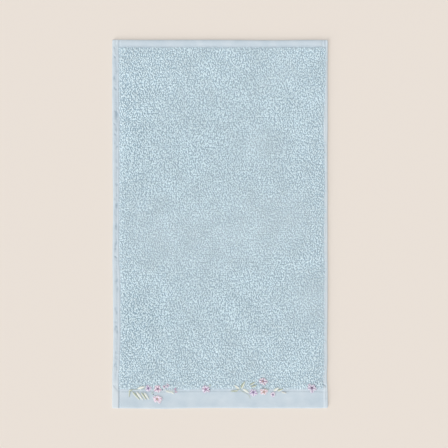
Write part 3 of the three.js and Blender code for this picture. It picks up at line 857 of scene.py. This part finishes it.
def stem_runs(dye, points):
    placed = stitch_places(points, STEM_STITCH, STEM_STEP)
    placed = placed + stitch_draw.uniform(-0.15, 0.15, placed.shape)
    return [(places, STEM_OVER, FLOSS_BULGE, [dye, dye]) for places in placed]


leaf_floss = thread_material("leaf_floss", 0.0016, 0.6, 0.25)
green_runs = [run for row in LEAVES for run in leaf_runs(*row)]
green_runs += [run for row in STEMS for run in stem_runs(*row)]
leaf_stitches = sewn("leaf_stitches", green_runs, leaf_floss, FLOSS_RADIUS, FLOSS_STEPS)
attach(leaf_stitches, "root")


# The blossoms: pink, lilac and peach embroidery thread. Each petal is a fan of satin stitches that start
# near the middle, which is filled with short crossing stitches. Small knots of dark thread lie beside.
PALE_PINK = tint(250, 242, 249)
PINK = tint(232, 200, 222)
ROSE = tint(200, 156, 190)
MAGENTA = tint(172, 140, 174)
PALE_LILAC = tint(243, 238, 250)
LILAC = tint(190, 168, 210)
MAUVE = tint(152, 126, 164)
DARK_MAUVE = tint(142, 126, 148)
PEACH = tint(214, 172, 172)
OCHRE = tint(212, 190, 170)
DARK_KNOT = tint(104, 104, 118)

# (across, along, reach, petals, turn in degrees, dye at the root, dye at the tip, dye of the middle)
BLOSSOMS = [
    (50.4, 28.7, 6.0, 4, 20, LILAC, PALE_LILAC, MAUVE),
    (63.6, 28.0, 6.5, 5, 60, ROSE, PALE_PINK, DARK_MAUVE),
    (62.8, 13.6, 7.0, 5, 12, PINK, PALE_PINK, OCHRE),
    (72.8, 31.0, 3.3, 3, 40, MAGENTA, PALE_PINK, MAUVE),
    (77.6, 32.4, 3.2, 3, 10, LILAC, PALE_PINK, MAUVE),
    (87.9, 27.6, 2.0, 3, 70, MAGENTA, PINK, MAUVE),
    (88.6, 23.6, 2.0, 3, 0, MAGENTA, PINK, MAUVE),
    (130.2, 26.6, 6.6, 5, 30, MAGENTA, PALE_LILAC, ROSE),
    (210.2, 38.0, 6.4, 5, 75, MAUVE, PALE_PINK, PEACH),
    (196.4, 22.4, 5.9, 5, 45, LILAC, PALE_LILAC, MAUVE),
    (211.2, 23.4, 5.7, 5, 5, PEACH, PALE_PINK, OCHRE),
    (223.6, 19.6, 4.1, 5, 30, LILAC, PALE_PINK, DARK_MAUVE),
    (278.2, 28.7, 6.8, 5, 50, MAUVE, PALE_LILAC, DARK_MAUVE),
]
PETAL_WIDE = 0.88
MIDDLE_SHARE = 0.2
STREAK_WIDE = 0.27

# Dark knots beside the blossoms: (across, along).
KNOTS = [(70.0, 26.4), (57.3, 20.2), (135.6, 26.2), (210.0, 29.0), (283.0, 30.4)]
KNOT_RADIUS, KNOT_TURNS, KNOT_STEPS = 0.62, 2.25, 16


def blossom_runs(across, along, reach, petals, turn, root_dye, tip_dye, middle_dye):
    runs = []
    middle = np.array([across, along])
    for petal in range(petals):
        angle = np.radians(turn + 360 * petal / petals + stitch_draw.uniform(-13, 13))
        ahead = np.array([np.cos(angle), np.sin(angle)])
        aside = np.array([-ahead[1], ahead[0]])
        long = reach * stitch_draw.uniform(0.76, 1.12)
        half_width = min(PETAL_WIDE * reach * np.sin(np.pi / petals), 0.5 * reach)
        half_width = half_width * stitch_draw.uniform(0.78, 1.05)
        for off in np.arange(-half_width, half_width + 0.01, FLOSS_PITCH):
            round_end = np.sqrt(max(1 - (off / half_width) ** 2, 0.0))
            far = long * (0.6 + 0.4 * round_end) * stitch_draw.uniform(0.9, 1.05)
            near = MIDDLE_SHARE * reach * stitch_draw.uniform(0.7, 1.3)
            root, tip = middle + ahead * near + aside * off * 0.4, middle + ahead * far + aside * off
            in_streak = abs(off) < STREAK_WIDE * half_width
            share = stitch_draw.uniform(0.5, 0.8) if in_streak else stitch_draw.uniform(0.15, 0.35)
            places = [root, root + (tip - root) * share, tip]
            dyes = [root_dye, root_dye, tip_dye] if in_streak else [root_dye, tip_dye, tip_dye]
            runs.append((places, FLOSS_OVER, FLOSS_BULGE, dyes))
    span = MIDDLE_SHARE * reach
    for off in np.arange(-span, span + 0.01, FLOSS_PITCH):
        half = 0.9 * np.sqrt(max(span**2 - off**2, 0.04))
        places = [middle + (-half, off), middle + (half, off)]
        runs.append((places, FLOSS_OVER + 0.12, FLOSS_BULGE, [middle_dye, middle_dye]))
    return runs


def knot_run(across, along):
    turns = np.linspace(0, 2 * np.pi * KNOT_TURNS, KNOT_STEPS)
    radius = KNOT_RADIUS * np.linspace(1.0, 0.35, KNOT_STEPS)
    places = np.stack([across + radius * np.cos(turns), along + radius * np.sin(turns)], -1)
    return places, FLOSS_OVER + 0.25, 0.35, [DARK_KNOT] * KNOT_STEPS


blossom_floss = thread_material("blossom_floss", 0.0016, 0.55, 0.3)
petal_runs = [run for row in BLOSSOMS for run in blossom_runs(*row)]
blossom_stitches = sewn("blossom_stitches", petal_runs, blossom_floss, FLOSS_RADIUS, FLOSS_STEPS)
knot_runs = [knot_run(*place) for place in KNOTS]
blossom_knots = sewn("blossom_knots", knot_runs, blossom_floss, FLOSS_RADIUS, KNOT_STEPS)
for piece in (blossom_stitches, blossom_knots):
    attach(piece, "root")


# The setting: a plain pale surface of matt paper under the towel, soft light from the lower left, low
# enough to show the loops, and a camera straight above.
FLOOR_REACH = 6
floor_finish, tree, floor_shader = new_material("pale_paper")
floor_shader.inputs["Base Color"].default_value = tint(226, 217, 208)
floor_shader.inputs["Roughness"].default_value = 1.0
floor_shader.inputs["Specular IOR Level"].default_value = 0.0
corners = [(x * FLOOR_REACH, y * FLOOR_REACH, 0) for x, y in ((-1, -1), (1, -1), (1, 1), (-1, 1))]
floor = piece_from("floor", mesh_from("floor", corners, faces=[(0, 1, 2, 3)]), floor_finish)

scene = bpy.context.scene
scene.view_settings.view_transform = "Standard"
world = bpy.data.worlds.new("soft_room")
world.use_nodes = True
world.node_tree.nodes["Background"].inputs["Color"].default_value = (1.0, 1.0, 1.0, 1.0)
world.node_tree.nodes["Background"].inputs["Strength"].default_value = 0.48
scene.world = world

# (name, strength, softness, degrees from overhead, and round from the bottom edge)
LIGHTS = [
    ("soft_overhead", 1.2, 1.0, 0, 0),
    ("soft_key", 1.3, 0.7, 65, -38),
    ("low_window", 0.8, 0.4, 80, -38),
]
for name, strength, softness, tilt, turn in LIGHTS:
    lamp = bpy.data.lights.new(name, "SUN")
    lamp.energy = strength
    lamp.angle = softness
    light = bpy.data.objects.new(name, lamp)
    light.rotation_euler = (np.radians(tilt), 0, np.radians(turn))
    scene.collection.objects.link(light)

CAMERA_LENS, CAMERA_SENSOR, FRAME_WIDTH = 85.0, 36.0, 0.6232
camera = bpy.data.objects.new("camera", bpy.data.cameras.new("camera"))
camera.data.lens = CAMERA_LENS
camera.data.sensor_width = CAMERA_SENSOR
camera.location = (0.0054, 0.0003, FRAME_WIDTH * CAMERA_LENS / CAMERA_SENSOR)
scene.collection.objects.link(camera)
scene.camera = camera
